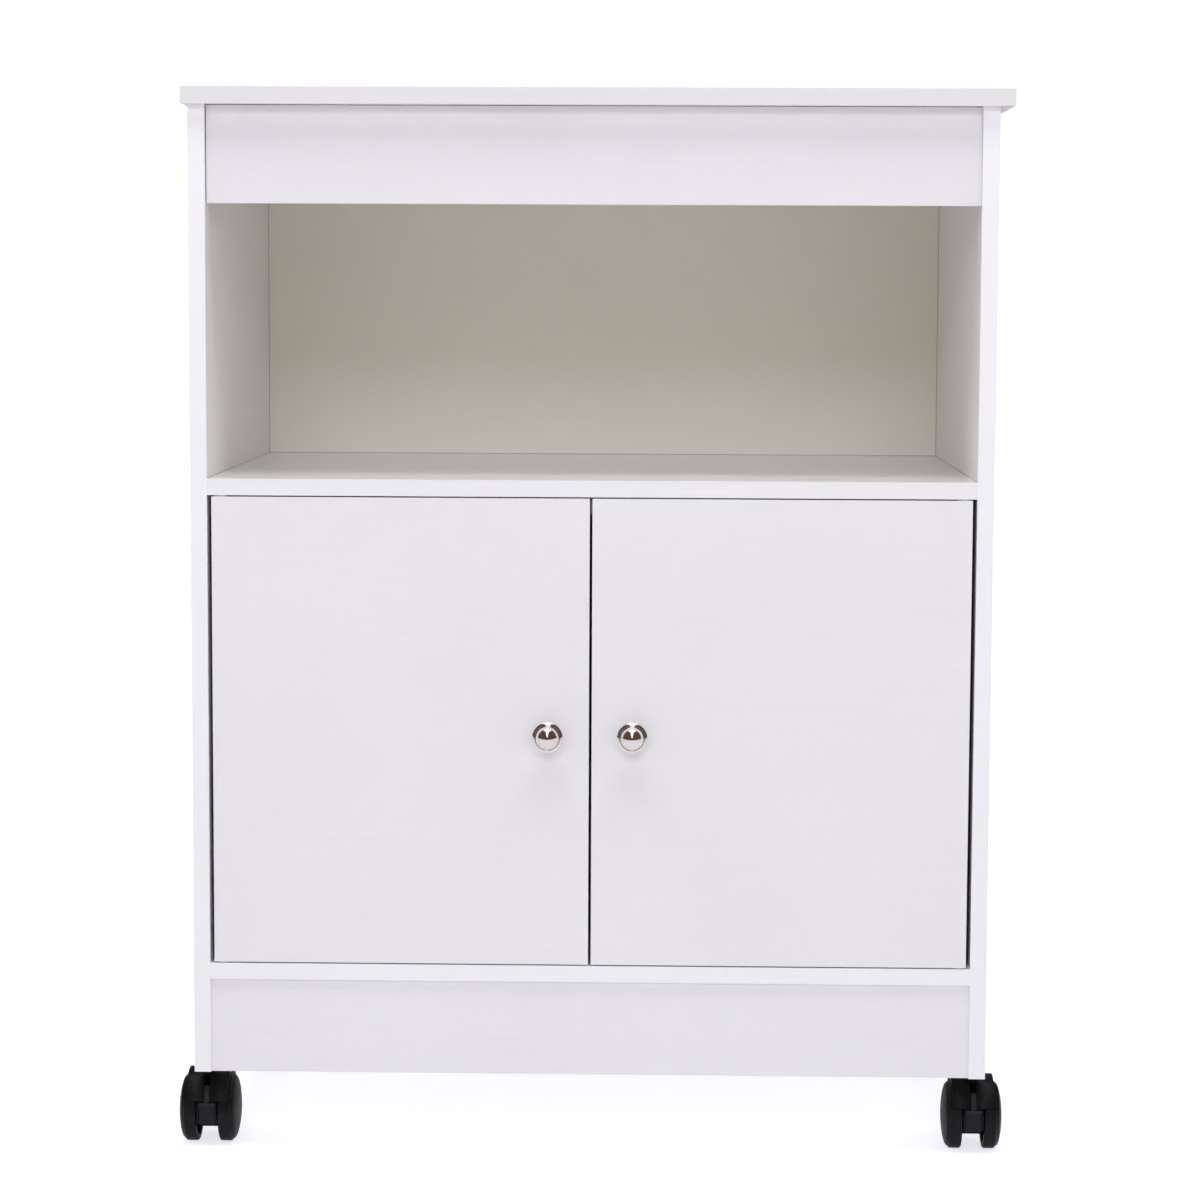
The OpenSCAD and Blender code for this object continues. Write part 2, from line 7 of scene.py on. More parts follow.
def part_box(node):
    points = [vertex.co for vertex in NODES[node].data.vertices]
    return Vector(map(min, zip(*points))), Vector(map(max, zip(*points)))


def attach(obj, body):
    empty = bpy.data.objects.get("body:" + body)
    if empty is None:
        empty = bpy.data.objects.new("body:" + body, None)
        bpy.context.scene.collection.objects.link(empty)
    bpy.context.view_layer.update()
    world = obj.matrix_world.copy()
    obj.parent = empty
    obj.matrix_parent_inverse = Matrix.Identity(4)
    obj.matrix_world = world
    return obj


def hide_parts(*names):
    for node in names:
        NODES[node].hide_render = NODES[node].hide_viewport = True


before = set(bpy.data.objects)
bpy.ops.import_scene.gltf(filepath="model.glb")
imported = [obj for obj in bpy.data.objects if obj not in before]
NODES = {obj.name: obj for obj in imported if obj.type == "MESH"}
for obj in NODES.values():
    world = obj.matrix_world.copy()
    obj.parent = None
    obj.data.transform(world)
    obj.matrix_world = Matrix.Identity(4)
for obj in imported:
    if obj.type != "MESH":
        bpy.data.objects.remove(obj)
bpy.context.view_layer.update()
scene = bpy.context.scene
coll = scene.collection


# ---------------------------------------------------------------- camera
def make_camera():
    yaw, pitch, roll = math.radians(1.228), math.radians(5.5787), math.radians(0.2586)
    turn = (Matrix.Rotation(yaw, 3, "Z") @ Matrix.Rotation(-pitch, 3, "X"))
    right = turn @ Vector((1, 0, 0))
    down = turn @ Vector((0, 0, -1))
    ahead = turn @ Vector((0, 1, 0))
    r = math.cos(roll) * right - math.sin(roll) * down
    d = math.sin(roll) * right + math.cos(roll) * down
    cam = bpy.data.cameras.new("camera")
    cam.sensor_width = 36.0
    cam.sensor_fit = "HORIZONTAL"
    cam.lens = 36.0 * 3191.8 / 1200.0
    cam.clip_start, cam.clip_end = 0.05, 60.0
    ob = bpy.data.objects.new("camera", cam)
    m = Matrix((r, -d, -ahead)).transposed().to_4x4()
    m.translation = Vector((0.05553, -2.46265, 0.63203))
    ob.matrix_world = m
    coll.objects.link(ob)
    scene.camera = ob


make_camera()
scene.view_settings.view_transform = "Standard"
scene.view_settings.look = "None"
scene.view_settings.exposure = 0.0
scene.view_settings.gamma = 1.0


# ---------------------------------------------------------------- node helpers
class Tree:
    """Small helper that builds a material's node tree."""

    def __init__(self, name):
        self.mat = bpy.data.materials.new(name)
        self.mat.use_nodes = True
        self.nt = self.mat.node_tree
        self.nt.nodes.clear()
        self.out = self.nt.nodes.new("ShaderNodeOutputMaterial")
        self.bsdf = self.nt.nodes.new("ShaderNodeBsdfPrincipled")
        self.nt.links.new(self.bsdf.outputs[0], self.out.inputs["Surface"])
        self._tc = None
        self._sep = {}

    def link(self, a, b):
        self.nt.links.new(a, b)

    def tc(self, which="Object"):
        if self._tc is None:
            self._tc = self.nt.nodes.new("ShaderNodeTexCoord")
        return self._tc.outputs[which]

    def xyz(self, which="Object"):
        if which not in self._sep:
            n = self.nt.nodes.new("ShaderNodeSeparateXYZ")
            self.link(self.tc(which), n.inputs[0])
            self._sep[which] = n
        return self._sep[which].outputs

    def math(self, op, a, b=None, c=None, clamp=False):
        n = self.nt.nodes.new("ShaderNodeMath")
        n.operation = op
        n.use_clamp = clamp
        for i, v in enumerate((a, b, c)):
            if v is None:
                continue
            if isinstance(v, (int, float)):
                n.inputs[i].default_value = v
            else:
                self.link(v, n.inputs[i])
        return n.outputs[0]

    def mapping(self, scale=(1, 1, 1), loc=(0, 0, 0), rot=(0, 0, 0), which="Object"):
        n = self.nt.nodes.new("ShaderNodeMapping")
        n.inputs["Location"].default_value = loc
        n.inputs["Rotation"].default_value = rot
        n.inputs["Scale"].default_value = scale
        self.link(self.tc(which), n.inputs["Vector"])
        return n.outputs[0]

    def noise(self, scale, detail=2.0, rough=0.5, vec=None, distort=0.0, colour=False):
        n = self.nt.nodes.new("ShaderNodeTexNoise")
        n.inputs["Scale"].default_value = scale
        n.inputs["Detail"].default_value = detail
        n.inputs["Roughness"].default_value = rough
        n.inputs["Distortion"].default_value = distort
        self.link(vec if vec is not None else self.tc(), n.inputs["Vector"])
        return n.outputs["Color" if colour else "Fac"]

    def voronoi(self, scale, vec=None, feature="F1", out="Distance", rand=1.0):
        n = self.nt.nodes.new("ShaderNodeTexVoronoi")
        n.feature = feature
        n.inputs["Scale"].default_value = scale
        n.inputs["Randomness"].default_value = rand
        self.link(vec if vec is not None else self.tc(), n.inputs["Vector"])
        return n.outputs[out]

    def ramp(self, fac, stops):
        n = self.nt.nodes.new("ShaderNodeValToRGB")
        el = n.color_ramp.elements
        while len(el) > 1:
            el.remove(el[-1])
        el[0].position, el[0].color = stops[0][0], tuple(stops[0][1]) + (1,) if len(stops[0][1]) == 3 else stops[0][1]
        for p, c in stops[1:]:
            e = el.new(p)
            e.color = tuple(c) + (1,) if len(c) == 3 else c
        self.link(fac, n.inputs[0])
        return n.outputs[0]

    def mix(self, fac, a, b, blend="MIX"):
        n = self.nt.nodes.new("ShaderNodeMix")
        n.data_type = "RGBA"
        n.blend_type = blend
        if isinstance(fac, (int, float)):
            n.inputs[0].default_value = fac
        else:
            self.link(fac, n.inputs[0])
        for i, v in ((6, a), (7, b)):
            if isinstance(v, (tuple, list)):
                n.inputs[i].default_value = tuple(v) + (1,) if len(v) == 3 else tuple(v)
            else:
                self.link(v, n.inputs[i])
        return n.outputs[2]

    def remap(self, v, a0, a1, b0, b1):
        n = self.nt.nodes.new("ShaderNodeMapRange")
        n.inputs["From Min"].default_value = a0
        n.inputs["From Max"].default_value = a1
        n.inputs["To Min"].default_value = b0
        n.inputs["To Max"].default_value = b1
        self.link(v, n.inputs["Value"])
        return n.outputs[0]

    def bump(self, height, distance, strength=1.0, normal=None):
        n = self.nt.nodes.new("ShaderNodeBump")
        n.inputs["Strength"].default_value = strength
        n.inputs["Distance"].default_value = distance
        self.link(height, n.inputs["Height"])
        if normal is not None:
            self.link(normal, n.inputs["Normal"])
        return n.outputs[0]

    def set(self, socket, v):
        s = self.bsdf.inputs[socket]
        if isinstance(v, (int, float)):
            s.default_value = v
        elif isinstance(v, (tuple, list)):
            s.default_value = tuple(v) + (1,) if len(v) == 3 else tuple(v)
        else:
            self.link(v, s)


# ---------------------------------------------------------------- board materials
def chipboard(t):
    """Colour and height of a sawn chipboard edge."""
    cells = t.voronoi(520, out="Color")
    grey = t.nt.nodes.new("ShaderNodeRGBToBW")
    t.link(cells, grey.inputs[0])
    chips = t.ramp(grey.outputs[0], [(0.0, (0.22, 0.13, 0.07)), (0.35, (0.42, 0.28, 0.16)), (0.7, (0.56, 0.41, 0.25)), (1.0, (0.68, 0.54, 0.37))])
    fine = t.noise(2200, 4, 0.6)
    col = t.mix(t.remap(fine, 0.3, 0.7, 0.0, 0.55), chips, (0.36, 0.24, 0.14))
    h = t.math("ADD", t.voronoi(520, out="Distance"), fine)
    return col, h


def board_material(node, thin, bands, face=(0.86, 0.85, 0.86), band=(0.875, 0.865, 0.86), grain="x", back_face=None, gloss=0.34, relief=0.12, vary=0.015, shade_lines=None, spec=0.5):
    """White melamine on the two broad faces, smooth edge band on the faces in bands, and
    sawn chipboard everywhere else, such as the unbanded edges and the drilled holes.
    thin is the board's thin axis; bands holds pairs of axis and sign."""
    lo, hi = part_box(node)
    t = Tree("board_" + node)
    P, N = t.xyz("Object"), t.xyz("Normal")
    ax = {"x": 0, "y": 1, "z": 2}

    def plane(axis, sign):
        i = ax[axis]
        v = hi[i] if sign > 0 else lo[i]
        near = t.math("COMPARE", P[i], float(v), 0.0005)
        facing = t.math("GREATER_THAN", t.math("MULTIPLY", N[i], float(sign)), 0.5)
        return t.math("MULTIPLY", near, facing)

    broad = t.math("MAXIMUM", plane(thin, 1), plane(thin, -1))
    banded = None
    for a, s in bands:
        m = plane(a, s)
        banded = m if banded is None else t.math("MAXIMUM", banded, m)
    skin = t.math("MAXIMUM", broad, banded)

    # Slow tone drift and fine print of the melamine paper
    drift = t.noise(9.0, 3, 0.55)
    mottle = t.noise(140.0, 3, 0.6)
    stretch = {"x": (14, 260, 260), "y": (260, 14, 260), "z": (260, 260, 14)}[grain]
    pores = t.noise(1.0, 5, 0.65, vec=t.mapping(scale=stretch))
    f = face
    tone = t.mix(t.remap(drift, 0.35, 0.65, 0.0, 1.0), tuple(c * 0.988 for c in f), tuple(min(c * 1.008, 1) for c in f))
    tone = t.mix(t.remap(mottle, 0.3, 0.75, 0.0, 0.2), tone, tuple(c * k for c, k in zip(f, (0.955, 0.95, 0.94))))
    tone = t.mix(t.remap(pores, 0.55, 0.75, 0.0, 0.32), tone, tuple(c * k for c, k in zip(f, (0.93, 0.925, 0.925))))
    bt = t.mix(t.remap(drift, 0.35, 0.65, 0.0, 1.0), tuple(c * 0.992 for c in band), band)
    colour = t.mix(banded, tone, bt)
    # Painted shade: thin lines at the given heights on one broad face, darkened towards brown, where a joining board
    # would cast shade
    for sign, at, half, far in shade_lines or ():
        line_shade = t.math("MULTIPLY", t.math("COMPARE", P[2], float(at), half), plane(thin, sign))
        line_shade = t.math("MULTIPLY", line_shade, t.math("LESS_THAN", P[1], float(far)))
        colour = t.mix(t.math("MULTIPLY", line_shade, 0.5), colour, (0.42, 0.34, 0.26))
    raw, raw_h = chipboard(t)
    colour = t.mix(skin, raw, colour)
    if back_face is not None:
        back_mask, back_col = back_face(t, plane)
        colour = t.mix(back_mask, colour, back_col)
    t.set("Base Color", colour)
    rough = t.remap(t.noise(95.0, 3, 0.6), 0.3, 0.7, gloss - vary, gloss + vary)
    rough = t.math("ADD", t.math("MULTIPLY", rough, skin), t.math("MULTIPLY", t.math("SUBTRACT", 1.0, skin), 0.85))
    t.set("Roughness", rough)
    t.set("IOR", 1.5)
    t.set("Specular IOR Level", spec)
    peel = t.noise(900.0, 2, 0.5)
    fine = t.math("MULTIPLY", t.math("ADD", peel, t.math("MULTIPLY", pores, t.math("SUBTRACT", 1.0, banded))), relief)
    height = t.mix(skin, raw_h, fine)
    t.set("Normal", t.bump(height, 0.00006, 0.5))
    return t.mat


def seam_material():
    """The cut line between an edge band and the board's face: a slightly darker, warmer arris."""
    t = Tree("board_arris")
    n = t.noise(60.0, 3, 0.6)
    t.set("Base Color", t.mix(t.remap(n, 0.35, 0.65, 0.0, 1.0), (0.72, 0.69, 0.68), (0.80, 0.78, 0.79)))
    t.set("Roughness", t.remap(n, 0.3, 0.7, 0.36, 0.5))
    t.set("Normal", t.bump(t.noise(900.0, 2, 0.5), 0.00003, 0.4))
    return t.mat


def back_panel_material():
    """Pale printed film inside, bare brown hardboard outside and in the edges."""
    t = Tree("back_panel_film")
    N, P = t.xyz("Normal"), t.xyz("Object")
    lo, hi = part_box("back_panel")
    inside = t.math("MULTIPLY", t.math("LESS_THAN", N[1], -0.5), t.math("COMPARE", P[1], float(lo[1]), 0.0003))
    drift = t.noise(7.0, 4, 0.6)
    weave = t.noise(1.0, 4, 0.7, vec=t.mapping(scale=(120, 500, 900)))
    speck = t.noise(650.0, 3, 0.7)
    film = t.mix(t.remap(drift, 0.35, 0.65, 0.0, 1.0), (0.925, 0.88, 0.75), (0.95, 0.905, 0.775))
    film = t.mix(t.remap(speck, 0.45, 0.75, 0.0, 0.5), film, (0.89, 0.84, 0.71))
    film = t.mix(t.remap(weave, 0.5, 0.75, 0.0, 0.35), film, (0.90, 0.855, 0.73))
    # Painted shade: a thin dark brown line on the film along each side, where the back meets the side panels
    corner_shade = t.math("COMPARE", t.math("ABSOLUTE", P[0]), 0.2762, 0.0007)
    film = t.mix(t.math("MULTIPLY", corner_shade, 0.7), film, (0.34, 0.28, 0.22))
    # Painted shade: a thin dark line on the film just above the middle shelf, where the shelf meets the back
    foot = t.math("COMPARE", P[2], float(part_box("middle_shelf")[1][2]) + 0.0003, 0.0005)
    film = t.mix(t.math("MULTIPLY", foot, 0.55), film, (0.40, 0.33, 0.26))
    fib = t.noise(1.0, 6, 0.7, vec=t.mapping(scale=(60, 900, 900)))
    fleck = t.voronoi(900, out="Distance")
    brown = t.ramp(fib, [(0.25, (0.24, 0.145, 0.078)), (0.5, (0.33, 0.21, 0.12)), (0.75, (0.42, 0.285, 0.175))])
    brown = t.mix(t.remap(fleck, 0.2, 0.6, 0.35, 0.0), brown, (0.17, 0.10, 0.055))
    t.set("Base Color", t.mix(inside, brown, film))
    t.set("Roughness", t.math("ADD", t.math("MULTIPLY", inside, -0.28), 0.74))
    h = t.math("ADD", t.math("MULTIPLY", speck, 0.6), t.math("MULTIPLY", fib, 0.8))
    t.set("Normal", t.bump(h, 0.00008, 0.5))
    return t.mat


# ---------------------------------------------------------------- other materials
def chrome_material():
    t = Tree("bright_chrome")
    n = t.noise(55.0, 3, 0.6)
    # Painted reflection: the chrome is tinted warm so that its reflections read beige
    t.set("Base Color", t.mix(t.remap(n, 0.35, 0.65, 0, 1), (0.88, 0.825, 0.80), (0.92, 0.87, 0.845)))
    t.set("Metallic", 1.0)
    t.set("Roughness", t.remap(t.noise(300.0, 4, 0.7), 0.3, 0.8, 0.035, 0.075))
    t.set("Normal", t.bump(t.noise(700.0, 2, 0.5), 0.000004, 0.3))
    return t.mat


def steel_material(name="plated_steel", a=(0.60, 0.60, 0.62), b=(0.72, 0.72, 0.73), rough=0.3):
    t = Tree(name)
    n = t.noise(260.0, 5, 0.65)
    t.set("Base Color", t.mix(t.remap(n, 0.3, 0.7, 0, 1), a, b))
    t.set("Metallic", 1.0)
    t.set("Roughness", t.remap(t.noise(900.0, 4, 0.7), 0.3, 0.75, rough - 0.06, rough + 0.14))
    t.set("Normal", t.bump(t.noise(1600.0, 3, 0.6), 0.00002, 0.5))
    return t.mat


def moulded_material(name, base, worn, rough=0.36, grain=1500.0, depth=0.00004, spec=0.5):
    """Moulded nylon: fine spark texture, dusty patches and slightly shiny worn spots."""
    t = Tree(name)
    dust = t.noise(90.0, 5, 0.65)
    spark = t.noise(grain, 3, 0.6)
    col = t.mix(t.remap(dust, 0.5, 0.78, 0.0, 0.7), base, worn)
    t.set("Base Color", col)
    t.set("Roughness", t.remap(t.noise(210.0, 4, 0.6), 0.3, 0.75, rough - 0.07, rough + 0.12))
    t.set("IOR", 1.5)
    t.set("Specular IOR Level", spec)
    t.set("Normal", t.bump(spark, depth, 0.6))
    return t.mat


def beech_material():
    t = Tree("beech_dowel")
    g = t.noise(1.0, 5, 0.6, vec=t.mapping(scale=(60, 900, 900)))
    fleck = t.noise(1400.0, 2, 0.5)
    c = t.ramp(g, [(0.3, (0.50, 0.33, 0.18)), (0.6, (0.62, 0.44, 0.27)), (0.85, (0.70, 0.53, 0.35))])
    t.set("Base Color", t.mix(t.remap(fleck, 0.6, 0.8, 0.0, 0.5), c, (0.36, 0.22, 0.12)))
    t.set("Roughness", 0.62)
    t.set("Normal", t.bump(g, 0.0001, 0.5))
    return t.mat


M_CHROME = chrome_material()
M_STEEL = steel_material()
M_ZINC = steel_material("cast_zinc", (0.62, 0.62, 0.63), (0.78, 0.78, 0.79), 0.38)
M_NYLON = moulded_material("black_nylon", (0.0055, 0.0052, 0.0063), (0.013, 0.0122, 0.014), 0.36, spec=0.16)
M_WHEEL = moulded_material("black_wheel", (0.006, 0.0054, 0.0068), (0.014, 0.0128, 0.0152), 0.33, 1200.0, spec=0.17)
M_PEDAL = moulded_material("grey_nylon", (0.016, 0.0145, 0.018), (0.032, 0.029, 0.037), 0.42, spec=0.3)
M_PLASTIC = moulded_material("white_plastic", (0.78, 0.78, 0.75), (0.70, 0.69, 0.66), 0.4, 1100.0)
M_MAGNET = moulded_material("ferrite", (0.055, 0.053, 0.052), (0.09, 0.085, 0.08), 0.55, 900.0)
M_BEECH = beech_material()
M_SEAM = seam_material()


# ---------------------------------------------------------------- carried-over CAD nodes
def dress(node, material, bevel=None, seam=None, segments=2, angle=50):
    ob = NODES[node]
    ob.data.materials.clear()
    ob.data.materials.append(material)
    if seam is not None:
        ob.data.materials.append(seam)
    if bevel:
        w = ob.modifiers.new("weld", "WELD")
        w.merge_threshold = 0.00002
        b = ob.modifiers.new("bevel", "BEVEL")
        b.width = bevel
        b.segments = segments
        b.limit_method = "ANGLE"
        b.angle_limit = math.radians(angle)
        b.harden_normals = True
        b.use_clamp_overlap = True
        if seam is not None:
            b.material = 1
    return ob


FRONT, REAR = ("y", -1), ("y", 1)
# Painted light: the side panels get a lighter face tone than the doors, to brighten the shaded bay
for n, inner in (("side_panel_left", 1), ("side_panel_right", -1)):
    # Painted shade: a thin dark line on the inner face where the middle shelf meets the panel, standing in for the
    # shade in that joint
    shelf_shade_line = [(inner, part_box("middle_shelf")[1][2] + 0.0003, 0.0004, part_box("back_panel")[0][1])]
    dress(n, board_material(n, "x", [FRONT], face=(0.945, 0.925, 0.905), grain="z", shade_lines=shelf_shade_line), 0.00018, M_SEAM)
# Painted shade: the top's edge band is darker than its face, to darken its lit front edge
dress("top_panel", board_material("top_panel", "z", [FRONT, REAR, ("x", -1), ("x", 1)], face=(0.90, 0.885, 0.88), band=(0.75, 0.73, 0.72), grain="x"), 0.00018, M_SEAM)
# Painted light: the shelves get the same lighter face tone as the side panels, brightening the bay
dress("middle_shelf", board_material("middle_shelf", "z", [FRONT], face=(0.945, 0.925, 0.905), grain="x", gloss=0.2, relief=0.008, vary=0.003, spec=1.0), 0.00018, M_SEAM)
dress("bottom_shelf", board_material("bottom_shelf", "z", [FRONT], face=(0.945, 0.925, 0.905), grain="x", gloss=0.30, relief=0.02), 0.00018, M_SEAM)
# Painted shade: the apron rail and kick board get a darker face tone than the doors, standing in for less light there
dress("apron_rail", board_material("apron_rail", "y", [("z", -1), ("x", -1), ("x", 1)], face=(0.775, 0.76, 0.76), grain="x"), 0.00018, M_SEAM)
dress("kick_board", board_material("kick_board", "y", [("z", -1)], face=(0.81, 0.79, 0.795), grain="x"), 0.00018, M_SEAM)
for n in ("left_door", "right_door"):
    dress(n, board_material(n, "y", [("x", -1), ("x", 1), ("z", -1), ("z", 1)], face=(0.812, 0.795, 0.788), band=(0.83, 0.81, 0.80), grain="x"), 0.00018, M_SEAM)
dress("back_panel", back_panel_material())

dress("cam_locks", M_ZINC, 0.00015)
dress("cam_bolts", M_STEEL)
dress("wood_dowels", M_BEECH)
dress("back_nails", M_STEEL)
dress("catch_body", M_PLASTIC, 0.0004)
dress("catch_magnets", M_MAGNET, 0.0003)
dress("catch_poles", M_STEEL, 0.00015)
dress("catch_screws", M_ZINC)
dress("hinge_pins", M_STEEL)
for s in ("left", "right"):
    dress(s + "_door_bushes", M_PLASTIC, 0.00015)
    dress(s + "_knob", M_CHROME)
    dress(s + "_knob_screw", M_ZINC, 0.00015)
    dress(s + "_strike_plate", M_STEEL, 0.0003)
    dress(s + "_strike_screw", M_ZINC)
dress("caster_sleeves", M_PLASTIC, 0.0002)
dress("caster_stems", M_STEEL, 0.0002)
dress("caster_clips", M_STEEL)
CASTERS = ("front_left", "front_right", "rear_left", "rear_right")
for c in CASTERS:
    dress(c + "_hood", M_NYLON, 0.0005)
    dress(c + "_axle", M_STEEL)
    dress(c + "_wheel_outer", M_WHEEL)
    dress(c + "_wheel_inner", M_WHEEL)
    if c.startswith("front"):
        dress(c + "_pedal", M_PEDAL, 0.00025)
        dress(c + "_pedal_pin", M_STEEL)


# ---------------------------------------------------------------- turned knobs
def curve(points, steps):
    """Smooth profile through the points, as a Catmull-Rom curve."""
    pts = [Vector((a, b)) for a, b in points]
    pts = [2 * pts[0] - pts[1]] + pts + [2 * pts[-1] - pts[-2]]
    out = []
    for i in range(1, len(pts) - 2):
        p0, p1, p2, p3 = pts[i - 1:i + 3]
        for k in range(steps):
            u = k / steps
            q = 0.5 * ((2 * p1) + (p2 - p0) * u + (2 * p0 - 5 * p1 + 4 * p2 - p3) * u ** 2 + (3 * p1 - p0 - 3 * p2 + p3) * u ** 3)
            out.append((max(q.x, 0.0), q.y))
    out.append((pts[-2].x, pts[-2].y))
    return out


def knob_profile():
    """Radius and height in millimetres from the door's face to the top of the dome."""
    foot = [(0.0, 0.0), (6.9, 0.0)]
    foot += [(6.9 + 0.3 * math.sin(math.radians(a)), 0.3 - 0.3 * math.cos(math.radians(a))) for a in (30, 60, 90)]
    foot += [(7.2, 0.95)]
    neck = curve([(7.2, 0.95), (6.55, 1.65), (5.0, 2.6), (4.45, 4.4), (5.05, 6.7), (7.1, 9.1), (9.3, 10.8), (10.75, 11.95)], 6)
    rim = curve([(10.75, 11.95), (11.3, 12.25), (11.5, 12.7), (11.38, 13.2), (10.95, 13.85), (10.35, 14.4), (9.75, 14.75), (9.3, 14.88), (9.02, 14.78), (8.88, 14.5)], 6)
    groove = curve([(8.88, 14.5), (8.7, 14.32), (8.55, 14.36), (8.5, 14.5)], 4)[1:]
    dome = [(8.5 * math.cos(math.radians(a)), 14.62 + 7.38 * math.sin(math.radians(a))) for a in range(3, 91, 3)]
    return foot + neck[1:] + rim[1:] + groove + dome[:-1] + [(0.0, 22.0)]


def turned_knob(side):
    node = side + "_knob"
    lo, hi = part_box(node)
    cx, cz, y0 = (lo[0] + hi[0]) / 2, (lo[2] + hi[2]) / 2, hi[1]
    k = (hi[0] - lo[0]) / 2 / 0.0115
    kh = (hi[1] - lo[1]) / 0.022
    prof = [(r * k * 0.001, h * kh * 0.001) for r, h in knob_profile()]
    n = 128
    bm = bmesh.new()
    rings = []
    for r, h in prof:
        if r < 1e-7:
            rings.append([bm.verts.new((cx, y0 - h, cz))])
        else:
            rings.append([bm.verts.new((cx + r * math.cos(2 * math.pi * i / n), y0 - h, cz + r * math.sin(2 * math.pi * i / n))) for i in range(n)])
    for a, b in zip(rings, rings[1:]):
        for i in range(n):
            j = (i + 1) % n
            if len(a) == 1:
                bm.faces.new((a[0], b[i], b[j]))
            elif len(b) == 1:
                bm.faces.new((a[i], b[0], a[j]))
            else:
                bm.faces.new((a[i], b[i], b[j], a[j]))
    bmesh.ops.recalc_face_normals(bm, faces=bm.faces[:])
    for f in bm.faces:
        f.smooth = True
    for e in bm.edges:
        if len(e.link_faces) == 2 and e.calc_face_angle() > math.radians(40):
            e.smooth = False
    me = bpy.data.meshes.new(node + "_turned")
    bm.to_mesh(me)
    bm.free()
    me.materials.append(M_CHROME)
    ob = bpy.data.objects.new(node + "_turned", me)
    coll.objects.link(ob)
    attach(ob, side + "_door")
    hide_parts(node)
    return ob


for s in ("left", "right"):
    turned_knob(s)


# ---------------------------------------------------------------- stage, light
def make_stage():
    me = bpy.data.meshes.new("floor")
    s = 12.0
    me.from_pydata([(-s, -s, 0), (s, -s, 0), (s, s, 0), (-s, s, 0)], [], [(0, 1, 2, 3)])
    ob = bpy.data.objects.new("floor", me)
    coll.objects.link(ob)
    mat = bpy.data.materials.new("floor")
    mat.use_nodes = True
    nt = mat.node_tree
    nt.nodes.clear()
    out = nt.nodes.new("ShaderNodeOutputMaterial")
    dif = nt.nodes.new("ShaderNodeBsdfDiffuse")
    tone = nt.nodes.new("ShaderNodeMix")
    tone.data_type = "RGBA"
    tone.inputs[6].default_value = (0.80, 0.797, 0.805, 1)
    tone.inputs[7].default_value = (0.12, 0.085, 0.07, 1)
    nt.links.new(tone.outputs[2], dif.inputs["Color"])
    emi = nt.nodes.new("ShaderNodeEmission")
    lp = nt.nodes.new("ShaderNodeLightPath")
    hue = nt.nodes.new("ShaderNodeMix")
    hue.data_type = "RGBA"
    nt.links.new(lp.outputs["Is Camera Ray"], hue.inputs[0])
    hue.inputs[6].default_value = (1.02, 0.96, 0.93, 1)
    hue.inputs[7].default_value = (0.965, 0.97, 1.04, 1)
    nt.links.new(hue.outputs[2], emi.inputs["Color"])
    tc = nt.nodes.new("ShaderNodeTexCoord")
    sep = nt.nodes.new("ShaderNodeSeparateXYZ")
    nt.links.new(tc.outputs["Object"], sep.inputs[0])
    dist = nt.nodes.new("ShaderNodeVectorMath")
    dist.operation = "LENGTH"
    nt.links.new(tc.outputs["Object"], dist.inputs[0])
    white = nt.nodes.new("ShaderNodeMapRange")
    white.interpolation_type = "SMOOTHSTEP"
    for k, v in (("From Min", 0.38), ("From Max", 1.3), ("To Min", 0.67), ("To Max", 1.1)):
        white.inputs[k].default_value = v
    nt.links.new(dist.outputs["Value"], white.inputs["Value"])
    edge = nt.nodes.new("ShaderNodeMapRange")
    edge.interpolation_type = "SMOOTHSTEP"
    for k, v in (("From Min", -1.2), ("From Max", -2.1), ("To Min", 0.0), ("To Max", 1.0)):
        edge.inputs[k].default_value = v
    nt.links.new(sep.outputs[1], edge.inputs["Value"])
    shiny = nt.nodes.new("ShaderNodeMath")
    shiny.operation = "MULTIPLY"
    nt.links.new(edge.outputs[0], shiny.inputs[0])
    nt.links.new(lp.outputs["Is Glossy Ray"], shiny.inputs[1])
    nt.links.new(shiny.outputs[0], tone.inputs[0])
    far = nt.nodes.new("ShaderNodeMapRange")
    far.interpolation_type = "SMOOTHSTEP"
    for k, v in (("From Min", -0.8), ("From Max", -3.2), ("To Min", 0.105), ("To Max", 0.60)):
        far.inputs[k].default_value = v
    nt.links.new(sep.outputs[1], far.inputs["Value"])
    seen = nt.nodes.new("ShaderNodeMix")
    seen.data_type = "FLOAT"
    nt.links.new(lp.outputs["Is Camera Ray"], seen.inputs[0])
    nt.links.new(far.outputs[0], seen.inputs[2])
    nt.links.new(white.outputs[0], seen.inputs[3])
    lit = nt.nodes.new("ShaderNodeMath")
    lit.operation = "MULTIPLY_ADD"
    nt.links.new(shiny.outputs[0], lit.inputs[0])
    lit.inputs[1].default_value = -1.0
    lit.inputs[2].default_value = 1.0
    glow = nt.nodes.new("ShaderNodeMath")
    glow.operation = "MULTIPLY"
    nt.links.new(seen.outputs[0], glow.inputs[0])
    nt.links.new(lit.outputs[0], glow.inputs[1])
    nt.links.new(glow.outputs[0], emi.inputs["Strength"])
    add = nt.nodes.new("ShaderNodeAddShader")
    nt.links.new(dif.outputs[0], add.inputs[0])
    nt.links.new(emi.outputs[0], add.inputs[1])
    nt.links.new(add.outputs[0], out.inputs["Surface"])
    me.materials.append(mat)


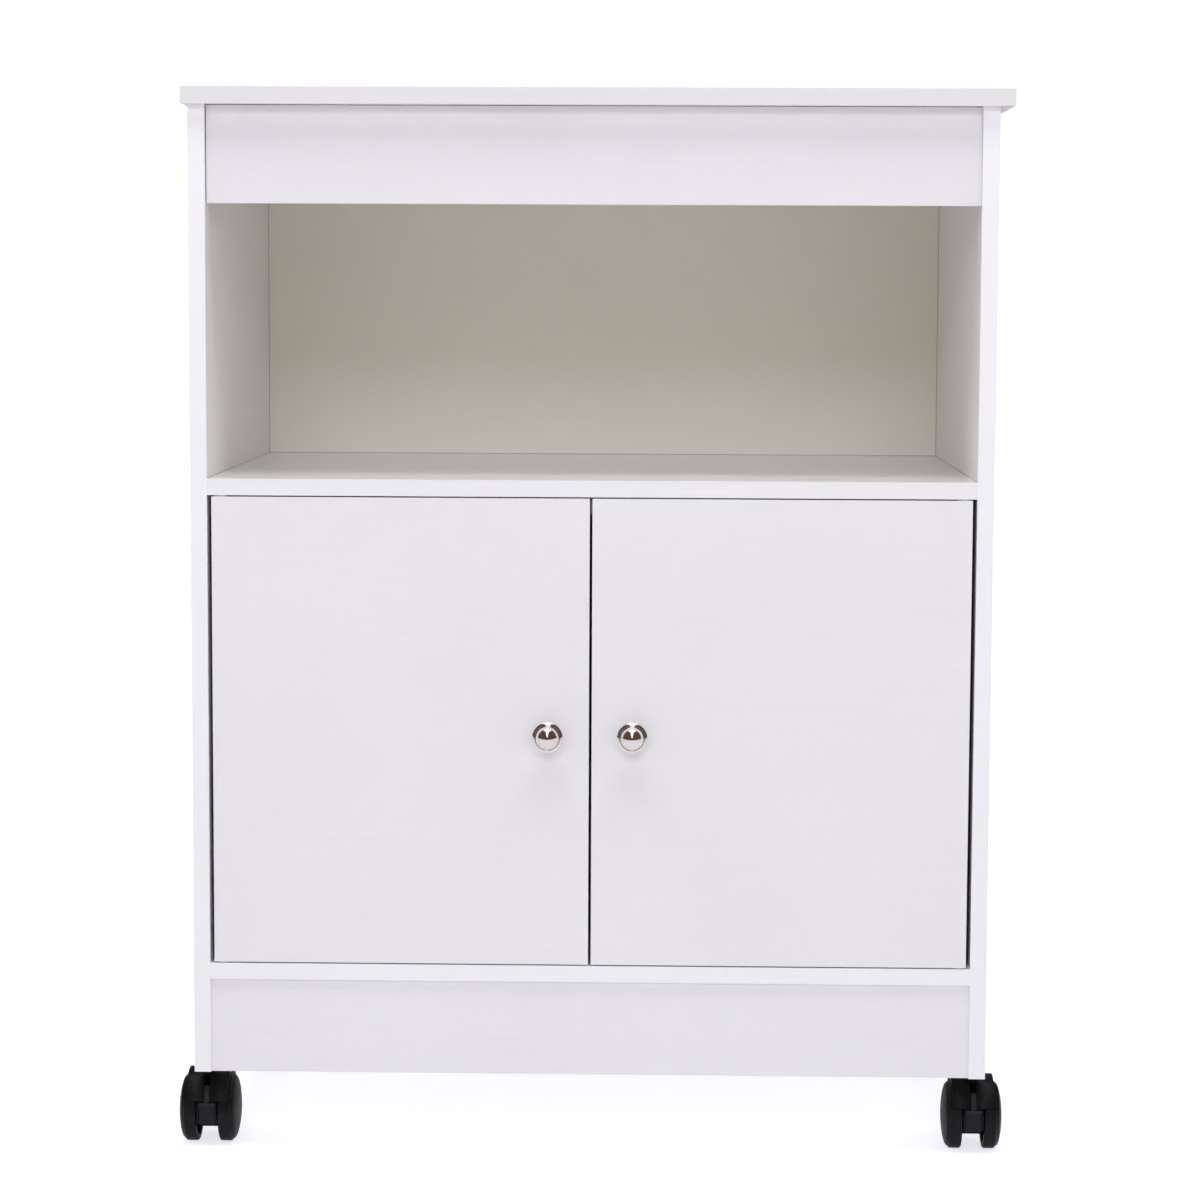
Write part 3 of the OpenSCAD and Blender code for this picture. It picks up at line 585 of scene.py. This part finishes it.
def make_world():
    w = bpy.data.worlds.new("studio")
    scene.world = w
    w.use_nodes = True
    nt = w.node_tree
    nt.nodes.clear()
    add = nt.nodes.new
    link = nt.links.new
    out = add("ShaderNodeOutputWorld")
    lp = add("ShaderNodeLightPath")
    tc = add("ShaderNodeTexCoord")
    sep = add("ShaderNodeSeparateXYZ")
    link(tc.outputs["Generated"], sep.inputs[0])
    low = add("ShaderNodeMapRange")
    low.interpolation_type = "SMOOTHSTEP"
    for k, v in (("From Min", 0.36), ("From Max", 0.52), ("To Min", 1.0), ("To Max", 0.0)):
        low.inputs[k].default_value = v
    link(sep.outputs[2], low.inputs["Value"])
    front = add("ShaderNodeMapRange")
    front.interpolation_type = "SMOOTHSTEP"
    for k, v in (("From Min", -0.45), ("From Max", -0.97), ("To Min", 1.03), ("To Max", 1.11)):
        front.inputs[k].default_value = v
    link(sep.outputs[1], front.inputs["Value"])
    rise = add("ShaderNodeMapRange")
    rise.interpolation_type = "SMOOTHSTEP"
    for k, v in (("From Min", 0.02), ("From Max", 0.34), ("To Min", 0.42), ("To Max", 1.2)):
        rise.inputs[k].default_value = v
    link(sep.outputs[2], rise.inputs["Value"])
    band = add("ShaderNodeMath")
    band.operation = "MULTIPLY"
    link(low.outputs[0], band.inputs[0])
    link(rise.outputs[0], band.inputs[1])
    m = add("ShaderNodeMath")
    m.operation = "MULTIPLY_ADD"
    link(band.outputs[0], m.inputs[0])
    link(front.outputs[0], m.inputs[1])
    m.inputs[2].default_value = 0.165
    soft = add("ShaderNodeBackground")
    soft.inputs["Color"].default_value = (0.965, 0.95, 0.955, 1)
    link(m.outputs[0], soft.inputs["Strength"])
    seen = add("ShaderNodeBackground")
    seen.inputs["Color"].default_value = (1, 1, 1, 1)
    seen.inputs["Strength"].default_value = 1.05
    # Surround for polished metal: dim and warm, with a narrow bright strip overhead that runs
    # to the front, and bright straight above
    def maths(op, p, q, clamp=False):
        n = add("ShaderNodeMath")
        n.operation = op
        n.use_clamp = clamp
        for i, v in enumerate((p, q)):
            if isinstance(v, (int, float)):
                n.inputs[i].default_value = v
            else:
                link(v, n.inputs[i])
        return n.outputs[0]

    gx, gy, gz = sep.outputs
    slope = maths("DIVIDE", maths("ABSOLUTE", gx, 0.0), maths("MAXIMUM", gz, 0.02))
    strip = maths("MULTIPLY", maths("SUBTRACT", 0.29, slope), 9.0, True)
    strip = maths("MULTIPLY", strip, maths("MULTIPLY", maths("SUBTRACT", gz, 0.06), 8.0, True))
    cap = maths("MULTIPLY", maths("SUBTRACT", gz, 0.86), 14.0, True)
    bright = maths("MULTIPLY", maths("MAXIMUM", strip, cap), 1.55)
    warm = add("ShaderNodeBackground")
    warm.inputs["Color"].default_value = (0.10, 0.066, 0.054, 1)
    warm.inputs["Strength"].default_value = 1.0
    shine = add("ShaderNodeBackground")
    shine.inputs["Color"].default_value = (1.0, 0.985, 0.975, 1)
    link(bright, shine.inputs["Strength"])
    dark = add("ShaderNodeAddShader")
    link(warm.outputs[0], dark.inputs[0])
    link(shine.outputs[0], dark.inputs[1])
    a = add("ShaderNodeMixShader")
    b = add("ShaderNodeMixShader")
    link(lp.outputs["Is Glossy Ray"], a.inputs[0])
    link(soft.outputs[0], a.inputs[1])
    link(dark.outputs[0], a.inputs[2])
    link(lp.outputs["Is Camera Ray"], b.inputs[0])
    link(a.outputs[0], b.inputs[1])
    link(seen.outputs[0], b.inputs[2])
    link(b.outputs[0], out.inputs["Surface"])


def area(name, at, to, size, power, colour, glossy=True):
    li = bpy.data.lights.new(name, "AREA")
    li.shape = "RECTANGLE"
    li.size, li.size_y = size
    li.energy = power
    li.color = colour
    ob = bpy.data.objects.new(name, li)
    ob.location = at
    ob.rotation_euler = (Vector(to) - Vector(at)).to_track_quat("-Z", "Y").to_euler()
    ob.visible_glossy = glossy
    coll.objects.link(ob)
    return ob


make_stage()
make_world()
area("key_light", (0.0, -5.0, 2.75), (0.0, 0.0, 0.60), (2.4, 1.0), 57.5, (0.74, 0.77, 1.0), glossy=False)
area("top_light", (0.0, -1.15, 3.2), (0.0, -1.15, 0.0), (2.4, 0.9), 43.5, (0.96, 0.965, 1.0), glossy=False)
for side, sx in (("left", -1.0), ("right", 1.0)):
    area("side_light_" + side, (3.0 * sx, -0.75, 2.25), (0.0, -0.2, 0.5), (1.0, 0.7), 7.0, (0.80, 0.83, 1.0), glossy=False)
